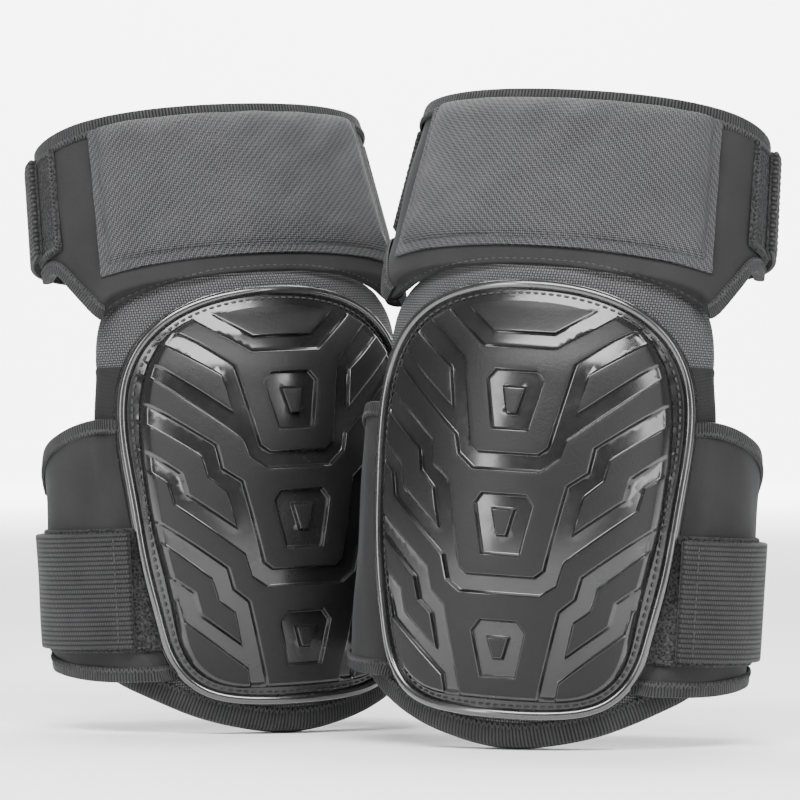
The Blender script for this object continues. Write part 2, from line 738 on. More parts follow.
def relief(distance):
    """Depth below the tread's top, from the signed distance to the tread's edge."""
    table = array([(-FOOT_EDGE, -RELIEF), (-FOOT_EDGE * 0.75, -RELIEF + 0.14), (0, -0.32),
                   (TOP_EDGE * 0.5, -0.07), (TOP_EDGE, 0)])
    return np.interp(distance, table[:, 0], table[:, 1])


def cap_front(points, blocks, pockets, islands):
    """Depth of the cap's front for front-view points, and how far in from the dome's edge."""
    x, z = points.T
    edge = inside_distance(points, dome_loop)
    tread = tread_distance(points, blocks, pockets, islands)
    flange = knee_y(x, z, FLANGE_T)
    lift = rounded(edge / WALL_RUN)
    cut = relief(tread) * (0.35 + 0.65 * eased(edge / 3))
    crown = dome_y(x, z, 0) - cut
    depth = np.where(edge > 0, flange + (crown - flange) * lift, flange)
    return np.minimum(depth, flange), edge


def cap_shell(pad):
    blocks, pockets, islands = tread_loops()
    loops = [(rim_loop, True)]
    for inset in (0.0, 0.12, 0.5, 1.2, 2.0, WALL_RUN):
        loops.append((shifted(dome_loop[::2], -inset), True))
    for group, sign in ((blocks, 1), (pockets, -1), (islands, 1)):
        for loop in group:
            for grow in (-TOP_EDGE, -TOP_EDGE * 0.5, 0.0, FOOT_EDGE * 0.75, FOOT_EDGE):
                loops.append((segmented(shifted(loop, grow * sign)), True))
    points, faces = triangulated(loops, 2.1, lambda c: inside_distance(c, rim_loop) > 0)
    depth, edge = cap_front(points, blocks, pockets, islands)
    x, z = points.T
    seat = knee_y(x, z, 0.0)
    under = np.where(edge < SHELL_RIM, seat, np.minimum(depth + SHELL_T, seat))
    front, back = stacked(x, depth, HEX_Z + z), stacked(x, under, HEX_Z + z)
    faces = outward(faces, front, to_front)
    solid = thick_sheet(front, back, faces)
    centre = points[faces].mean(1)
    top = tread_distance(centre, blocks, pockets, islands)
    rim = inside_distance(centre, dome_loop)
    grained = (top > TOP_EDGE * 0.9) & (rim > WALL_RUN * 0.8)
    index = np.ones(len(solid[1]), int)
    index[:len(faces)] = np.where(grained, 0, 1)
    piece(pad, "cap_shell", solid, None, "pad", ["cap"], uv=np.vstack([points, points]),
          crease=24, looks=([LOOK["grain"], LOOK["gloss"]], index))
    bead_path = shifted(rim_loop, -BEAD_R + 0.35)
    bead = tube(cap_face(*bead_path.T, 0.6), BEAD_R, 16)
    piece(pad, "cap_bead", facing_out(bead), LOOK["bead"], "pad")
    cap_backing(pad)
    seam = stitches(cap_face, shifted(rim_loop, -SEAM_INSET), 0.12, 3.4, 2.5, 0.42, closed=True)
    thread(pad, "cap_stitches", seam, "pad", ["cap_thread"])


def cap_face(x, z, h):
    """A place on the cap's flange, from the front view."""
    return stacked(x, knee_y(x, z, FLANGE_T + h), HEX_Z + z)


def cap_backing(pad):
    """Foam that fills the cap's hollow."""
    inner = shifted(dome_loop, -BACKING_INSET)
    spots, flat = triangulated([(inner[::3], True)], 6.0, lambda c: inside_distance(c, inner) > 0)
    sx, sz = spots.T
    near = dome_y(sx, sz, -RELIEF - BACKING_GAP)
    far = knee_y(sx, sz, 0.1)
    near = np.minimum(near, far - 0.6)
    near, far = stacked(sx, near, HEX_Z + sz), stacked(sx, far, HEX_Z + sz)
    lens = thick_sheet(near, far, outward(flat, near, to_front))
    backing = piece(pad, "cap_backing", lens, LOOK["foam"], "pad", ["cap_backing_foam"])


# ---------------------------------------------------------------------------- the pad under the cap
def unrolled(loop):
    """An outline of the front view in the pad's own (length, height) surface."""
    p = array(loop)
    return np.stack([BASE_R * np.arcsin(np.clip(p[:, 0] / BASE_R, -0.99, 0.99)), p[:, 1]], 1)


TUCK = [(0, 114), (32, 112.5), (55, 108), (70, 99.5)]     # the cover's top, under the cuff
shell_half = TUCK + PAD[4:]
shell_loop = clockwise(spline(unrolled(mirror_half(shell_half)), True, 300)[:-1])
cap_hole = unrolled(shifted(rim_loop, -6))
PAD_EDGE = 8.0          # the pad's edge is rounded over this width
COVER_T, LINING_T = 1.1, 1.3
GEL_FRONT, GEL_BACK = -9.5, -15.0   # depths of the gel's faces; the foam's hollow is 0.2 in front
SPLIT_U = BASE_R * math.asin(58.0 / BASE_R)
SPLIT_Z = 72.0


def pad_face(points, depth, front=True):
    """Depth of the pad's front or back skin, with its rounded edge."""
    edge = np.maximum(inside_distance(points, shell_loop), 0)
    fall = (PAD_T / 2 - 0.4) * (1 - rounded(edge / PAD_EDGE))
    return -depth - fall if front else -PAD_T + depth + fall


def skin(points, faces, outer, inner):
    front, back = knee(points[:, 0], points[:, 1], outer), knee(points[:, 0], points[:, 1], inner)
    faces = outward(faces, front, lambda centres: centres * array([1, 1, 0]))
    return thick_sheet(front, back, faces), np.vstack([points, points]), front


def declare_skin(pad, points, front, faces):
    """State the flat size of a skin; a narrow arch's is its strip's: its area over its width."""
    width, length = np.ptp(points, axis=0) * MM
    area = triangle_area(front, faces) * MM ** 2
    if area < 0.4 * width * length:
        length = area / width
    area = min(area, width * length)
    pad.name("foam_body")


def pad_layers(pad):
    """Woven cover, side panels, foam, gel, lining and base binding."""
    rings = [shifted(shell_loop, -d) for d in (0.0, 0.5, 1.6, 3.4, 5.6, PAD_EDGE)]
    loops = [(r, True) for r in rings] + [(cap_hole, True)]
    seam = [[(s * SPLIT_U, z) for z in np.arange(-94, SPLIT_Z + 1, 3.0)] for s in (1, -1)]
    level = [[(s * u, SPLIT_Z) for u in np.arange(SPLIT_U, 110, 3.0)] for s in (1, -1)]
    loops += [(array(line), False) for line in seam + level]
    points, faces = triangulated(loops, 4.0, lambda c: (inside_distance(c, shell_loop) > 0)
                                 & (inside_distance(c, cap_hole) < 0))
    centre = points[faces].mean(1)
    side = (np.abs(centre[:, 0]) > SPLIT_U) & (centre[:, 1] < SPLIT_Z)
    parts = {"front_cover": ~side, "side_panel_outer": side & (centre[:, 0] > 0),
             "side_panel_inner": side & (centre[:, 0] < 0)}
    wave = ripple(points, 0.35, 11, 30)
    dip = np.exp(-((points[:, 1] - SPLIT_Z) / 1.4) ** 2)
    dip = np.where(np.abs(points[:, 0]) > SPLIT_U - 1, dip, 0)
    outer = pad_face(points, 0.0) - 0.9 * dip + np.where(dip > 0.02, 0, wave)
    for part, chosen in parts.items():
        used, local = np.unique(faces[chosen], return_inverse=True)
        spots, local = points[used], local.reshape(-1, 3)
        solid, uv, front = skin(spots, local, outer[used], outer[used] - COVER_T)
        look = LOOK["cover"] if part == "front_cover" else LOOK["side"]
        obj = piece(pad, part + "_cloth", solid, look, "pad", [part], uv=uv, crease=60)
        declare_skin(pad, spots, front, local)
    foam_fill(pad)
    lining_sheet(pad)
    base_binding(pad)


def foam_fill(pad):
    inner = shifted(shell_loop, -1.4)
    gel = unrolled(whole(GEL, 90))
    loops = [(shifted(inner, -d), True) for d in (0.0, 1.5, 4.0, 7.0)]
    loops += [(gel, True), (shifted(gel, -0.4), True)]
    points, faces = triangulated(loops, 6.0, lambda c: inside_distance(c, inner) > 0)
    outer, back = pad_face(points, 1.4), pad_face(points, 1.7, front=False)
    hollow = inside_distance(points, gel) > 0.2
    back = np.where(hollow, GEL_FRONT + 0.2, np.minimum(back, outer - 0.4))
    solid, uv, _ = skin(points, faces, outer, back)
    obj = piece(pad, "foam_body", solid, LOOK["foam"], "pad", ["foam_core"], uv=uv)
    inside = shifted(gel, -0.8)
    points, faces = triangulated([(shifted(inside, -d), True) for d in (0.0, 0.7, 2.0)], 5.0,
                                 lambda c: inside_distance(c, inside) > 0)
    round_off = 1.6 * (1 - rounded(inside_distance(points, inside) / 2.0))
    solid, uv, _ = skin(points, faces, GEL_FRONT - round_off, GEL_BACK + round_off)
    obj = piece(pad, "gel_body", solid, LOOK["gel"], "pad", ["gel_insert"], uv=uv)


def lining_sheet(pad):
    """Inside lining, quilted a little over the gel insert."""
    edge_loop = shifted(shell_loop, -0.2)
    gel = unrolled(whole(GEL, 120))
    loops = [(shifted(edge_loop, -d), True) for d in (0.0, 0.6, 1.8, 3.8, 6.0, PAD_EDGE)]
    loops += [(shifted(gel, d), True) for d in (-3.0, -1.2, 0.0, 1.2, 3.0)]
    points, faces = triangulated(loops, 4.0, lambda c: inside_distance(c, edge_loop) > 0)
    inner = pad_face(points, 0.0, front=False)
    around = inside_distance(points, gel)
    inner = inner + 1.0 * np.exp(-(around / 1.3) ** 2) - 1.6 * eased(around / 9)
    inner = inner + ripple(points, 0.35, 23, 26)
    solid, uv, front = skin(points, faces, inner + LINING_T, inner)
    obj = piece(pad, "lining_cloth", solid, LOOK["lining"], "pad", ["knee_lining"], uv=uv,
                crease=60)
    declare_skin(pad, points, front, faces)

    def seam_place(u, z, h):
        return knee(u, z, 1.0 - PAD_T - h)
    seam = stitches(seam_place, gel, 0.0, 3.4, 2.4, 0.35, closed=True)
    thread(pad, "lining_stitches", seam, "pad")


def base_binding(pad):
    """Tape round the pad's outline below the side wings."""
    low = shell_loop[shell_loop[:, 1] < -50]
    path = respaced(low[np.argsort(-low[:, 0])], 150)
    solid, uv = binding(knee, path, TAPE_W, -PAD_T + 2.2, -2.2, fold=2.9, turn=-1)
    piece(pad, "base_tape", solid, LOOK["tape"], "pad", ["base_binding"], uv=uv)
    seam = zigzag(knee, path + inward_of(path, -1) * (TAPE_W - 1.3), 0.72)
    thread(pad, "base_tape_seam", seam, "pad")


# --------------------------------------------------------------------------------------- calf band
WING_TOP = smooth_curve([(-80, 44), (-64, 46.5), (-45, 48), (-20, 43), (8, 32), (23, 21), (34, 3)])
WING_LOW = smooth_curve([(-80, -69), (-45, -69), (-10, -66), (10, -63.5), (22, -60), (32, -42)])
UNDER_RIM = 4.0         # how far the wings reach in under the cap's rim
RIM_START = -22.0       # the calf line is followed this far before its start, at the lower corners


def wing_start(z):
    """Length along the calf line where it passes under the cap's rim at height z."""
    lengths = np.linspace(RIM_START, 40, 200)
    x = calf_at(lengths)[0]
    return np.interp(rim_x(z) - UNDER_RIM, x, lengths)


def wing_grid(share, level, end, low=None, high=None):
    """Lengths and heights of a wing's grid from two 0 to 1 grids; low and high fix its heights."""
    a = np.full(share.shape, 30.0)
    z = np.zeros(share.shape)
    for _ in range(6):
        y = calf_at(a)[1]
        top = WING_TOP(y) if high is None else np.full(y.shape, high)
        foot = WING_LOW(y) if low is None else np.full(y.shape, low)
        z = foot + (top - foot) * level
        start = wing_start(z)
        a = start + (end - start) * share
    return a, z


def calf_bands(pad):
    sway = 9 if pad.mirrored else 4
    end = WING_END * CALF_LENGTH
    share, level = np.meshgrid(fine_steps(1.0, 46, 0.02), fine_steps(1.0, 40, 0.02))
    a, z = wing_grid(share, level, end)
    flat = flattened(a, z)
    wave = ripple(flat, 0.45, 31 + sway, 45).reshape(a.shape)
    rim = np.minimum(np.minimum(level, 1 - level) * 110, (1 - share) * end)
    half = NEOPRENE_T / 2 * swell(rim, 1.6)
    for part, mirror in (("outer", 1), ("inner", -1)):
        surface = sided(wing, mirror)
        front = surface(a, z, -NEOPRENE_T / 2 + half + wave)
        back = surface(a, z, -NEOPRENE_T / 2 - half + wave)
        obj = band(pad, f"calf_wing_{part}_cloth", front, back, flat, "neoprene", "pad",
                   [f"calf_wing_{part}"])
        declare_sheet(front)
        across = np.linspace(0.03, 0.995, 70)
        tape, seams = [], []
        for level_at, turn in ((1.0, -1), (0.0, 1)):
            ea, ez = wing_grid(across[None], np.full((1, 70), level_at), end)
            path = respaced(np.stack([ea[0], ez[0]], 1), 90)
            solid, uv = binding(surface, path, EDGE_W, -NEOPRENE_T, 0.1, fold=TAPE_T, turn=turn)
            tape.append((facing_out(solid), uv))
            line = path + inward_of(path, turn) * (EDGE_W - 1.6)
            seams.append(zigzag(surface, line, 0.95, 2.0, 2.3))
        solid = joined(*[t[0] for t in tape])
        uv = np.vstack([t[1] for t in tape])
        piece(pad, f"calf_tape_{part}", solid, LOOK["tape"], "pad", [f"calf_edge_tape_{part}"],
              uv=uv)
        thread(pad, f"calf_tape_seam_{part}", joined(*seams), "pad")
    calf_patch(pad)
    calf_strap(pad)


def sided(surface, mirror):
    """The same surface on the inner side of the leg when mirror is -1."""
    def other(a, z, h):
        return surface(a, z, h) * array([mirror, 1, 1])
    return other


def calf_patch(pad):
    low, high = CALF_PATCH_Z[0] - HEX_Z, CALF_PATCH_Z[1] - HEX_Z
    end = CALF_PATCH_END * CALF_LENGTH
    share, level = np.meshgrid(fine_steps(1.0, 56, 0.012), fine_steps(1.0, 36, 0.02))
    a, z = wing_grid(share, level, end, low, high)
    rim = np.minimum(np.minimum(level, 1 - level) * (high - low), (1 - share) * end)
    flat = flattened(a, z)
    fuzz = ripple(flat, 0.10, 5, 3.0).reshape(a.shape) + ripple(flat, 0.08, 6, 1.6).reshape(a.shape)
    front = wing(a, z, 0.35 + LOOP_T * swell(rim, 1.2) + fuzz * np.clip(rim / 2, 0, 1))
    back = wing(a, z, 0.1 + 0 * z)
    obj = band(pad, "calf_patch_cloth", front, back, flat, "loop", "pad", ["calf_loop_patch"])
    declare_sheet(front, rests_on=[pad.name("calf_wing_outer_cloth")])
    lines, across = [], np.linspace(0.1, 0.985, 60)[None]
    for level_at in (0.965, 0.035):
        ea, ez = wing_grid(across, np.full((1, 60), level_at), end, low, high)
        line = np.stack([ea[0], ez[0]], 1)
        lines.append(stitches(wing, line, LOOP_T + 0.25, 3.0, 2.2, 0.33))
    thread(pad, "calf_patch_stitches", joined(*lines), "pad")


def strap_path(begin, finish, share):
    """Depth of a strap's inner face: over its hook tape, then down to where it is sewn on."""
    return STACK + (0.35 - STACK) * eased((share - begin) / (finish - begin))


OVERLAP = 17.0          # the strap's sewn end lies over the inner wing
HEM_RUN, HEM_EXTRA = 7.5, 0.55      # the folded hem at a strap's tip
STRAP_BEND = 7.0        # a strap bends over this length on each side of its hinge


def strap_band(pad, part, surface, tip, root, bend, z_range, lift, nodes, hook):
    """A strap with rounded ends, its hook tape, hem and sewn end, bending where it is sewn on."""
    low, high = z_range[0] - HEX_Z, z_range[1] - HEX_Z
    length = root + OVERLAP - tip
    steps = fine_steps(length, 170, 1.1)
    rows = fine_steps(high - low, 22, 1.1)
    run, rise = np.meshgrid(steps, rows)
    edge = box_edge(run, rise, length, high - low)
    a, z = tip + run, low + rise
    share = np.clip(run / (root - tip), 0, 1.0)
    flat = flattened(a, z)
    loose = eased((share - 0.2) / 0.3) * (1 - eased((share - 0.85) / 0.15))
    wave = ripple(flat, 0.9, 41 + pad.mirrored, 60).reshape(a.shape) * loose
    hem = HEM_EXTRA * (1 - eased((run - HEM_RUN) / 2.0))
    inner = lift(share) + np.maximum(wave, -0.2)
    half = (WEB_T + hem) / 2 * swell(edge, 1.1)
    middle = inner + (WEB_T + hem) / 2
    front, back = surface(a, z, middle + half), surface(a, z, middle - half)
    obj = band(pad, part + "_webbing", front, back, flat, "webbing", None)
    start, finish = (pad.row(surface(array([at]), array([(low + high) / 2]), array([1.0])))[0]
                     for at in (bend + STRAP_BEND, bend - STRAP_BEND))
    parent = "pad" if part == "calf_strap" else "cuff"
    tuple(start)
    tuple(finish)
    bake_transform(obj)
    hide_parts(*[pad.name(node) for node in nodes])
    declare_sheet(front)
    hem_line = respaced(array([(tip + 6.6, low + 2), (tip + 6.6, high - 2)]), 30)
    tip_h = float(lift(0.0)) + WEB_T + 0.5
    seam = stitches(surface, hem_line, tip_h, 2.9, 2.1, 0.32)
    thread(pad, part + "_hem_stitches", seam, part + "_body")
    box = [(root + 3, low + 3), (root + OVERLAP - 2, low + 3), (root + OVERLAP - 2, high - 3),
           (root + 3, high - 3), (root + 3, low + 3), (root + OVERLAP - 2, high - 3)]
    end_h = float(lift(1.0)) + WEB_T
    sides = [stitches(surface, respaced(array([p, q]), 24), end_h, 2.8, 2.1, 0.32)
             for p, q in zip(box, box[1:])]
    thread(pad, part + "_sewn_end", joined(*sides), parent)
    hook_tip, hook_end, base = hook
    run, rise = np.meshgrid(fine_steps(hook_end - hook_tip, 60, 0.6),
                            fine_steps(high - low, 20, 0.6))
    ha, hz = hook_tip + run, low + rise
    flat = flattened(ha, hz)
    nap = np.abs(ripple(flat, 0.09, 51, 1.5)).reshape(ha.shape)
    edge = box_edge(run, rise, hook_end - hook_tip, high - low)
    share = (ha - tip) / (root - tip)
    front = surface(ha, hz, lift(share))
    back = surface(ha, hz, base + nap * np.clip(edge, 0, 1) + 0.5 * (1 - rounded(edge / 0.6)))
    obj = band(pad, part + "_hooks", front, back, flat, "hook", part + "_body",
               [part.replace("strap", "hook_tape")])
    declare_sheet(front)


def calf_strap(pad):
    tip = CALF_TIP * CALF_LENGTH
    root = (1 - WING_END) * CALF_LENGTH - GAP
    hook = (tip + 0.3, CALF_HOOK_END * CALF_LENGTH, LOOP_T + GAP)

    def lift(share):
        return strap_path(0.38, 0.9, share)
    bend = CALF_FLEX * CALF_LENGTH + GAP / 2
    strap_band(pad, "calf_strap", calf, tip, root, bend, CALF_STRAP_Z, lift,
               ["calf_strap", "calf_strap_base"], hook)


# -------------------------------------------------------------------------------------- thigh cuff
CUFF_TOP = CUFF_TOP_Z - HEX_Z
TOP_EDGE_W = 8.0
CUFF_REACH = CUFF_END * THIGH_LENGTH
BEND_LOW, BEND_HIGH = -7.0, 6.0     # the neoprene bends over this height about the flex line


def cuff_foot(a):
    """Height of the cuff's lower edge; past the widest place it stays level."""
    return ARCH(thigh_at(np.minimum(np.abs(a), WIDEST))[0])


def bent_at_flex(pad, obj):
    """The piece follows the pad below the flex line and the cuff above it."""
    flex, rise = array([0, FLEX_Y, FLEX_Z]), array([0, LEAN_SIN, LEAN_COS])
    start, finish = pad.row(flex + rise * BEND_LOW)[0], pad.row(flex + rise * BEND_HIGH)[0]
    pad.name("pad")
    pad.name("cuff")
    tuple(start)
    tuple(finish)
    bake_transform(obj)


def cuff_sheet(pad):
    across = fine_steps(2 * CUFF_REACH, 150, 1.6) - CUFF_REACH
    a, level = np.meshgrid(across, fine_steps(1.0, 70, 0.015))
    foot = cuff_foot(a)
    z = foot + (CUFF_TOP - 0.6 - foot) * level
    flat = flattened(a, z)
    wave = ripple(flat, 0.5, 61 + pad.mirrored, 55).reshape(a.shape)
    wave *= eased((z - FLEX - 4) / 10)
    rim = np.minimum((CUFF_REACH - np.abs(a)), np.minimum(level, 1 - level) * 90)
    half = NEOPRENE_T / 2 * swell(rim, 1.6)
    front = cuff(a, z, -NEOPRENE_T / 2 + half + wave)
    back = cuff(a, z, -NEOPRENE_T / 2 - half + wave)
    obj = band(pad, "cuff_neoprene", front, back, flat, "neoprene", None)
    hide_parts(pad.name("thigh_cuff"))
    declare_sheet(front)
    bent_at_flex(pad, obj)
    seam_a = np.linspace(-thigh_length_at(CUFF_X - 3), thigh_length_at(CUFF_X - 3), 120)
    line = np.stack([seam_a, cuff_foot(seam_a) + 2.2], 1)
    seam = thread(pad, "cuff_seam_stitches", stitches(cuff, line, -0.1, 3.2, 2.3, 0.33), None)
    bent_at_flex(pad, seam)


def cuff_tapes(pad):
    top = np.stack([np.linspace(-CUFF_REACH, CUFF_REACH, 200), np.full(200, CUFF_TOP - 0.6)], 1)
    solid, uv = binding(cuff, top, TOP_EDGE_W, -NEOPRENE_T - 0.1, 0.15, fold=TAPE_T, turn=-1)
    piece(pad, "cuff_top_binding", solid, LOOK["tape"], "cuff", ["cuff_top_tape"], uv=uv)
    seam = zigzag(cuff, top - array([0, TOP_EDGE_W - 2.0]), 1.1, 2.2, 2.3)
    thread(pad, "cuff_top_seam", seam, "cuff")
    solids, uvs, seams = [], [], []
    for sign in (1, -1):
        a = np.linspace(thigh_length_at(CUFF_X), CUFF_REACH - 0.5, 70) * sign
        path = respaced(np.stack([a, cuff_foot(a)], 1), 90)
        solid, uv = binding(cuff, path, EDGE_W, -NEOPRENE_T - 0.1, 0.15, fold=TAPE_T, turn=sign)
        solids.append(solid)
        uvs.append(uv)
        line = path + inward_of(path, sign) * (EDGE_W - 1.6)
        seams.append(zigzag(cuff, line, 1.0, 2.0, 2.3))
    obj = piece(pad, "cuff_lower_binding", joined(*solids), LOOK["tape"], None, uv=np.vstack(uvs))
    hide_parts(pad.name("cuff_lower_tape"))
    bent_at_flex(pad, obj)
    obj = thread(pad, "cuff_lower_seam", joined(*seams), None)
    bent_at_flex(pad, obj)


PANEL_TOP, PANEL_LOW = 190.5, 118.5
PANEL_HEM, HEM_T = 5.0, 1.1         # the panel's flat sewn hem: its width and thickness
PANEL_BOW = 1.5                     # the lower edge bows up this far in the middle
PUFF = 2.2                          # most that the simulation may lift the panel


def panel_half_width(z):
    down = (185.5 - z) / 66.5
    return thigh_length_at(64 + 6 * down) + 7 - 5 * down


def panel_grid(columns, rows):
    side, level = np.meshgrid(columns, rows)
    bow = PANEL_BOW * (1 - side ** 2)
    z = PANEL_LOW + bow * (1 - level) + (PANEL_TOP - PANEL_LOW) * level
    a = side * panel_half_width(z)
    return a, z


def panel_depth(a, z):
    """Height of the padded panel over the neoprene, and the distance from its sewn edges."""
    inset = np.minimum(panel_half_width(z) - np.abs(a), z - PANEL_LOW - 1.0)
    top = PANEL_TOP - z
    rise = rounded((inset - PANEL_HEM) / 11) * rounded((top + 1.0) / 12)
    crown = 0.9 + 0.1 * eased(inset / 30)
    groove = 0.45 * np.exp(-((inset - PANEL_HEM + 0.6) / 0.7) ** 2)
    return HEM_T - groove + (PANEL_T - 1.3 - HEM_T) * rise * crown, inset


def padded_panel(pad):
    spread = fine_steps(1, 60, 0.02)[1:]
    columns = np.unique(np.round(np.concatenate([spread - 1, 1 - spread]), 6))
    rows = fine_steps(1.0, 64, 0.02)
    a, z = panel_grid(columns, rows)
    top, inset = panel_depth(a, z)
    flat = flattened(a, z)
    slack = ripple(flat, 0.32, 71 + pad.mirrored, 24).reshape(a.shape)
    top = top + slack * eased((inset - PANEL_HEM) / 9)
    rim = np.clip(inset + 1.0, 0, None)
    front = cuff(a, z, 0.55 + top - 0.8 * (1 - rounded(rim / 1.1)))
    back = cuff(a, z, 0.35 + 0 * z)
    obj = band(pad, "panel_cloth", front, back, flat, "panel", None)
    pinned = (inset.ravel() < PANEL_HEM + 0.5) | (PANEL_TOP - z.ravel() < 3)
    puff(obj, np.concatenate([pinned, np.ones(len(flat), bool)]), PUFF * MM)
    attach(obj, pad.name("cuff"))
    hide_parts(pad.name("thigh_panel_cover"))
    corners = [(-0.999, 0.97), (-0.999, 0.0), (0.999, 0.0), (0.999, 0.97)]
    lines = []
    for p, q in zip(corners, corners[1:]):
        side = np.linspace(p[0], q[0], 80)
        level = np.linspace(p[1], q[1], 80)
        bow = PANEL_BOW * (1 - side ** 2) * (1 - level)
        lz = PANEL_LOW + bow + (PANEL_TOP - PANEL_LOW) * level
        la = side * panel_half_width(lz)
        in_a = np.sign(la) * np.minimum(np.abs(la), panel_half_width(lz) - PANEL_HEM + 0.7)
        in_z = np.maximum(lz, PANEL_LOW + PANEL_HEM + 0.3)
        lines.append(stitches(cuff, np.stack([in_a, in_z], 1), HEM_T + 0.22, 3.1, 2.3, 0.34))
    thread(pad, "panel_stitches", joined(*lines), "cuff")
    panel_fill(pad)


def panel_fill(pad):
    """Foam inside the padded panel."""
    a, z = panel_grid(np.linspace(-0.88, 0.88, 40), np.linspace(0.12, 0.94, 24))
    depth, inset = panel_depth(a, z)
    fill_top = np.maximum(0.62 + 0.75 * (depth - HEM_T), 1.2)
    shape = rounded((inset - PANEL_HEM - 1) / 6) * rounded((PANEL_TOP - z) / 9)
    front = cuff(a, z, 0.9 + (fill_top - 0.6) * shape)
    back = cuff(a, z, 0.6 + 0 * z)
    fill = piece(pad, "panel_fill", facing_out(grid_solid(front, back)), LOOK["foam"], "cuff",
                 ["thigh_panel_foam"])


def puff(obj, pinned, most):
    """Inflate a sewn cushion by cloth simulation; pinned vertices stay, the rest move by most."""
    rest = np.empty(len(obj.data.vertices) * 3)
    obj.data.vertices.foreach_get("co", rest)
    group = obj.vertex_groups.new(name="sewn")
    group.add([int(i) for i in np.flatnonzero(pinned)], 1.0, "REPLACE")
    cloth = obj.modifiers.new("Cloth", "CLOTH")
    cloth.settings.vertex_group_mass = "sewn"
    cloth.settings.effector_weights.gravity = 0
    cloth.settings.use_pressure = True
    cloth.settings.uniform_pressure_force = 3.0
    cloth.settings.tension_stiffness = cloth.settings.compression_stiffness = 8.0
    cloth.settings.shear_stiffness = 3.0
    cloth.settings.bending_stiffness = 0.6
    cloth.collision_settings.use_collision = False
    cloth.collision_settings.use_self_collision = False
    cloth.point_cache.frame_start, cloth.point_cache.frame_end = 1, 12
    for step in range(1, 13):
        bpy.context.scene.frame_set(step)
    graph = bpy.context.evaluated_depsgraph_get()
    moved = np.empty_like(rest)
    obj.evaluated_get(graph).data.vertices.foreach_get("co", moved)
    obj.modifiers.remove(cloth)
    obj.vertex_groups.clear()
    bpy.context.scene.frame_set(1)
    shift = (moved - rest).reshape(-1, 3)
    size = np.linalg.norm(shift, axis=1)[:, None]
    shift *= np.minimum(1, most / np.maximum(size, 1e-9))
    obj.data.vertices.foreach_set("co", rest + shift.ravel())
    obj.data.update()


def thigh_patch(pad):
    begin, finish = THIGH_PATCH[0] * THIGH_LENGTH, THIGH_PATCH[1] * THIGH_LENGTH
    low, high = THIGH_PATCH_Z[0] - HEX_Z, THIGH_PATCH_Z[1] - HEX_Z
    run, rise = np.meshgrid(fine_steps(finish - begin, 34, 1.0), fine_steps(high - low, 50, 1.0))
    a, z = begin + run, low + rise
    edge = box_edge(run, rise, finish - begin, high - low)
    flat = flattened(a, z)
    fuzz = ripple(flat, 0.10, 7, 3.0).reshape(a.shape) + ripple(flat, 0.08, 8, 1.6).reshape(a.shape)
    front = cuff(a, z, 0.7 + LOOP_T * swell(edge, 1.0) + fuzz * np.clip(edge, 0, 1))
    back = cuff(a, z, 0.5 + 0 * z)
    obj = band(pad, "thigh_patch_cloth", front, back, flat, "loop", "cuff", ["thigh_loop_patch"])
    declare_sheet(front, rests_on=[pad.name("cuff_neoprene")])
    inset = 2.2
    box = array([(begin + inset, low + inset), (finish - inset, low + inset),
                 (finish - inset, high - inset), (begin + inset, high - inset)])
    path = respaced(np.vstack([box, box[:1]]), 120)
    seam = zigzag(cuff, path, LOOP_T + 0.85, 2.4, 2.2)
    thread(pad, "thigh_patch_seam", seam, "cuff")


def thigh_parts(pad):
    cuff_sheet(pad)
    cuff_tapes(pad)
    padded_panel(pad)
    thigh_patch(pad)
    tip = THIGH_TIP * THIGH_LENGTH
    root = (1 - CUFF_END) * THIGH_LENGTH - GAP
    hook = (tip + 0.3, THIGH_HOOK_END * THIGH_LENGTH, LOOP_T + GAP + 0.6)

    def lift(share):
        return 0.4 + strap_path(0.25, 0.9, share)
    strap_band(pad, "thigh_strap", cuff, tip, root, root - 2, THIGH_STRAP_Z, lift,
               ["thigh_strap"], hook)


# --------------------------------------------------------------------------------------- materials
class Wire:
    """A number flowing through a material's nodes, with ordinary arithmetic."""

    def __init__(self, tree, socket):
        self.tree, self.socket = tree, socket

    def math(self, operation, *others):
        node = self.tree.nodes.new("ShaderNodeMath")
        node.operation = operation
        for slot, value in zip(node.inputs, (self,) + others):
            if isinstance(value, Wire):
                self.tree.links.new(value.socket, slot)
            else:
                slot.default_value = value
        return Wire(self.tree, node.outputs[0])

    def scaled(self, low, high, to_low, to_high):
        node = self.tree.nodes.new("ShaderNodeMapRange")
        self.tree.links.new(self.socket, node.inputs["Value"])
        for name, value in (("From Min", low), ("From Max", high),
                            ("To Min", to_low), ("To Max", to_high)):
            node.inputs[name].default_value = value
        return Wire(self.tree, node.outputs["Result"])


for method, operation in (("__add__", "ADD"), ("__sub__", "SUBTRACT"), ("__mul__", "MULTIPLY"),
                          ("__truediv__", "DIVIDE"), ("floor", "FLOOR"), ("fract", "FRACT"),
                          ("sin", "SINE"), ("cos", "COSINE"), ("absolute", "ABSOLUTE"),
                          ("power", "POWER"), ("modulo", "FLOORED_MODULO"), ("below", "LESS_THAN")):
    setattr(Wire, method, lambda wire, *others, name=operation: wire.math(name, *others))


def mixed(choice, one, other):
    """other where choice is 0, one where it is 1."""
    return other + choice * (one - other)


